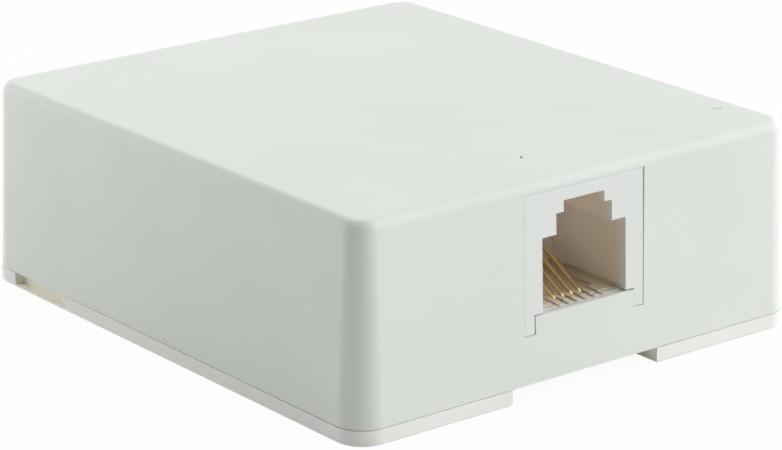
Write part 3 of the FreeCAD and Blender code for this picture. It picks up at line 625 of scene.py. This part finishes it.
def fill_slots(form):
    """The pry slots are shallow, with a web close behind the mouth of their pockets."""
    for corner in form.verts:
        x, y, z = (value / MM for value in corner.co)
        along = SLOT_ALONG[0] < y < SLOT_ALONG[1]
        if not (along and SLOT_HEIGHTS[0] < z < SLOT_HEIGHTS[1]):
            continue
        for deep, shallow in SLOT_WALLS:
            if abs(abs(x) - deep) < SAME_LEVEL:
                corner.co.x = math.copysign(shallow, x) * MM


def dress_mouldings():
    """Cover, base, jack and contact carrier."""
    shell = eased("cover", COVER_EASE, cover_abs(), "cover_shell", leave=kept_crisp)
    shell.location.z = -COVER_DROP * MM
    eased("base", BASE_EASE, base_abs(), "base_moulding", adjust=fill_slots)
    jack = eased("jack_housing", JACK_EASE, jack_abs(), "jack_moulding", adjust=fill_comb)
    jack.location.x = -JACK_SHIFT * MM
    eased("contact_carrier", CARRIER_EASE, carrier_nylon(), "carrier_moulding")


# ---- contacts and leads ------------------------------------------------------------------
def round_bar(name, radius_mm, kind, roundness, steps):
    """A curve that draws a round bar, and its line, which has no points yet."""
    curve = bpy.data.curves.new(name, "CURVE")
    curve.dimensions = "3D"
    curve.bevel_depth = radius_mm * MM
    curve.bevel_resolution = roundness
    curve.resolution_u = steps
    curve.use_fill_caps = True
    return curve, curve.splines.new(kind)


def bent_bar(name, points, radius_mm, bends_mm=()):
    """A round bar through the points in metres, each inner corner rounded to its bend."""
    curve, spline = round_bar(name, radius_mm, "BEZIER", roundness=5, steps=8)
    places = [Vector(point) for point in points]
    knots = [(places[0], places[0], places[1])]
    for before, corner, after, bend in zip(places, places[1:], places[2:], bends_mm):
        back = (before - corner).normalized()
        ahead = (after - corner).normalized()
        half_turn = (math.pi - back.angle(ahead)) / 2
        reach = bend * MM * math.tan(half_turn)
        pull = reach * 4 / 3 * math.tan(half_turn / 2) / math.tan(half_turn)
        start = corner + back * reach
        end = corner + ahead * reach
        knots.append((start, start + back * pull, start - back * pull))
        knots.append((end, end - ahead * pull, end + ahead * pull))
    knots.append((places[-1], places[-2], places[-1]))
    spline.bezier_points.add(len(knots) - 1)
    for knot, (place, left, right) in zip(spline.bezier_points, knots):
        knot.handle_left_type = "FREE"
        knot.handle_right_type = "FREE"
        knot.co = place
        knot.handle_left = left
        knot.handle_right = right
    return placed(name, curve)


def contact_wires(gold):
    """Spring contacts: back under the cavity, up through the comb, then up to the back again."""
    inset = WIRE_RADIUS * MM
    for line in LINES:
        node = "contact_wire_" + line
        low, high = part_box(node)
        outer = high.x if high.x > -low.x else low.x
        inner = low.x if high.x > -low.x else high.x
        slot_x = inner + math.copysign(inset, outer)
        tail_x = outer - math.copysign(inset, outer)
        front = low.y + inset
        floor = low.z + inset
        points = (
            (tail_x, high.y, floor),
            (slot_x, front, floor),
            (slot_x, front, COMB_TOP * MM),
            (slot_x, WIRE_TIP * MM, high.z - inset / 2),
        )
        wire = bent_bar("spring_" + line, points, WIRE_RADIUS, (WIRE_BEND, WIRE_BEND))
        dressed(wire, gold, node)


def lead_route(line):
    """The lead's points from its sleeve to its fork, in metres."""
    side = -1 if line in ("black", "red") else 1
    route = FRONT_LEAD if line in ("black", "yellow") else REAR_LEAD
    return [Vector((side * x, y, z)) * MM for x, y, z in route]


def insulated_leads():
    """Leads pushed into their fans by hand: one easy line from sleeve to fork."""
    copper = bare_copper()
    for line, shades in PVC_SHADES.items():
        node = "lead_" + line
        route = lead_route(line)
        curve, spline = round_bar(node + "_cover", LEAD_RADIUS, "NURBS", roundness=6, steps=10)
        spline.points.add(len(route) - 1)
        for knot, place in zip(spline.points, route):
            knot.co = (*place, 1.0)
        spline.order_u = 3
        spline.use_endpoint_u = True
        insulation = placed("insulation_" + line, curve)
        dressed(insulation, pvc(line + " PVC", *shades), node)
        start = route[0]
        behind = start + (start - route[1]).normalized() * CORE_BARED * MM
        core = bent_bar("core_" + line, (behind, start + (route[1] - start) / 4), CORE_RADIUS)
        dressed(core, copper, node)


# ---- terminals ---------------------------------------------------------------------------
def slim_shank(form):
    """The shank between the thread's turns is thinner than the thread."""
    low = Vector([min(corner.co[axis] for corner in form.verts) for axis in range(3)])
    high = Vector([max(corner.co[axis] for corner in form.verts) for axis in range(3)])
    for corner in form.verts:
        across = corner.co - (low + high) / 2
        across.z = 0
        slim = across.length < (SHANK_RADIUS + SHANK_PLAY) * MM
        if slim and corner.co.z < low.z + SHANK_LENGTH * MM:
            corner.co -= across * (1 - SHANK_CORE / SHANK_RADIUS)


def thread_ring(form, share, axis, tip):
    """The four corners of the ridge's section, at a share of the way along the thread."""
    angle = share * THREAD_LENGTH / THREAD_PITCH * 2 * math.pi
    fade = min(1, share * THREAD_FADE, (1 - share) * THREAD_FADE)
    crest = THREAD_RUNOUT + THREAD_RISE * fade
    height = tip / MM + THREAD_START + share * THREAD_LENGTH
    ring = []
    for radius, rise in (
        (THREAD_ROOT, -THREAD_HALF_FOOT),
        (crest, -THREAD_HALF_CREST),
        (crest, THREAD_HALF_CREST),
        (THREAD_ROOT, THREAD_HALF_FOOT),
    ):
        place = Vector((radius * math.cos(angle), radius * math.sin(angle), height + rise)) * MM
        ring.append(form.verts.new(place + Vector((axis.x, axis.y, 0))))
    return ring


def screw_threads(zinc):
    """Rolled threads: a ridge that winds round each screw's shank."""
    steps = round(THREAD_LENGTH / THREAD_PITCH * THREAD_STEPS)
    for line in LINES:
        node = "terminal_screw_" + line
        low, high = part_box(node)
        form = bmesh.new()
        last = None
        for step in range(steps + 1):
            ring = thread_ring(form, step / steps, (low + high) / 2, low.z)
            if last:
                for one in range(4):
                    form.faces.new((last[one - 1], last[one], ring[one], ring[one - 1]))
            else:
                form.faces.new(ring)
            last = ring
        form.faces.new(last[::-1])
        bmesh.ops.recalc_face_normals(form, faces=form.faces)
        mesh = mesh_from(form, "thread_" + line)
        mesh.shade_smooth()
        dressed(placed("thread_" + line, mesh), zinc, node, replaces=False)


def dress_terminals():
    """Crimp sleeves, forks, washers and screws."""
    tin = tinned_brass()
    zinc = zinc_plate()
    for line in LINES:
        for node, width_mm, plating, slot, name, adjust in (
            ("sleeve_", SLEEVE_EASE, tin, "sleeves", "crimp_sleeve_", None),
            ("fork_", FORK_EASE, tin, "forks", "fork_terminal_", None),
            ("lower_washer_", WASHER_EASE, zinc, "washers", "square_washer_", None),
            ("upper_washer_", WASHER_EASE, zinc, "washers", "round_washer_", None),
            ("terminal_screw_", SCREW_EASE, zinc, "screws", "slotted_screw_", slim_shank),
        ):
            eased(node + line, width_mm, plating, name + line, adjust=adjust)
    screw_threads(zinc)


# ---- studio ------------------------------------------------------------------------------
def seen_or_mirrored(tree):
    """1 for what the camera sees, straight or mirrored in metal and gloss."""
    path = add(tree, "ShaderNodeLightPath").outputs
    either = path["Is Camera Ray"]
    for other in ("Is Glossy Ray", "Is Transmission Ray"):
        either = add(tree, "ShaderNodeMath", {0: either, 1: path[other]}, operation="MAXIMUM")
    return either


def pale_floor():
    """A wide white floor that shows white and keeps a faint shadow."""
    mesh = bpy.data.meshes.new("floor")
    reach = FLOOR_REACH * MM
    corners = [(-reach, -reach, 0), (reach, -reach, 0), (reach, reach, 0), (-reach, reach, 0)]
    mesh.from_pydata(corners, [], [(0, 1, 2, 3)])
    floor = placed("floor", mesh)
    floor.location.z = -FLOOR_DROP * MM
    material = bpy.data.materials.new("white floor")
    tree = emptied_tree(material)
    matt = add(tree, "ShaderNodeBsdfDiffuse", {"Color": colour("#F2F2F0")})
    bright = add(tree, "ShaderNodeEmission", {"Color": colour("#FFFFFF"), "Strength": 1.0})
    shares = {0: seen_or_mirrored(tree), 1: FLOOR_WHITE}
    share = add(tree, "ShaderNodeMath", shares, operation="MULTIPLY")
    both = add(tree, "ShaderNodeMixShader", {"Fac": share, 1: matt, 2: bright})
    add(tree, "ShaderNodeOutputMaterial", {"Surface": both})
    mesh.materials.append(material)


def pale_world():
    """Dim even light from all round, and plain white where it is seen."""
    world = bpy.data.worlds.new("studio")
    bpy.context.scene.world = world
    tree = emptied_tree(world)
    levels = {"Value": seen_or_mirrored(tree), "To Min": AMBIENT, "To Max": 1.0}
    strength = add(tree, "ShaderNodeMapRange", levels)
    lit = {"Color": colour("#FFFFFF"), "Strength": strength}
    light = add(tree, "ShaderNodeBackground", lit)
    add(tree, "ShaderNodeOutputWorld", {"Surface": light})


def stand_round(holder, azimuth, elevation, distance_mm, target_mm):
    """Puts a lamp or the camera at a distance from its target, and aims it there."""
    turn = math.radians(azimuth)
    rise = math.radians(elevation)
    out = Vector(
        (math.sin(turn) * math.cos(rise), -math.cos(turn) * math.cos(rise), math.sin(rise))
    )
    target = Vector(target_mm) * MM
    holder.location = target + out * (distance_mm * MM)
    holder.rotation_euler = (target - holder.location).to_track_quat("-Z", "Y").to_euler()


def softboxes():
    """Wide soft lamps that leave no glare. A white face square on to one shines at its level."""
    for name, azimuth, elevation, distance_mm, width_mm, height_mm, level in LAMPS:
        lamp = bpy.data.lights.new(name, "AREA")
        lamp.shape = "RECTANGLE"
        lamp.size = width_mm * MM
        lamp.size_y = height_mm * MM
        lamp.energy = level * math.pi**2 * (distance_mm * MM) ** 2
        holder = placed(name, lamp)
        stand_round(holder, azimuth, elevation, distance_mm, LAMP_TARGET)
        holder.visible_glossy = False


def camera():
    """A long lens that looks down on the jack's corner of the box."""
    lens = bpy.data.cameras.new("camera")
    lens.sensor_width = CAMERA_SENSOR
    lens.lens = CAMERA_LENS
    lens.clip_start = CAMERA_CLIP * MM
    holder = placed("camera", lens)
    stand_round(holder, CAMERA_ROUND, CAMERA_UP, CAMERA_DISTANCE, CAMERA_TARGET)
    bpy.context.scene.camera = holder


bpy.context.scene.view_settings.view_transform = "Standard"
dress_mouldings()
contact_wires(gold_plated_wire())
dress_terminals()
insulated_leads()
pale_floor()
pale_world()
softboxes()
camera()
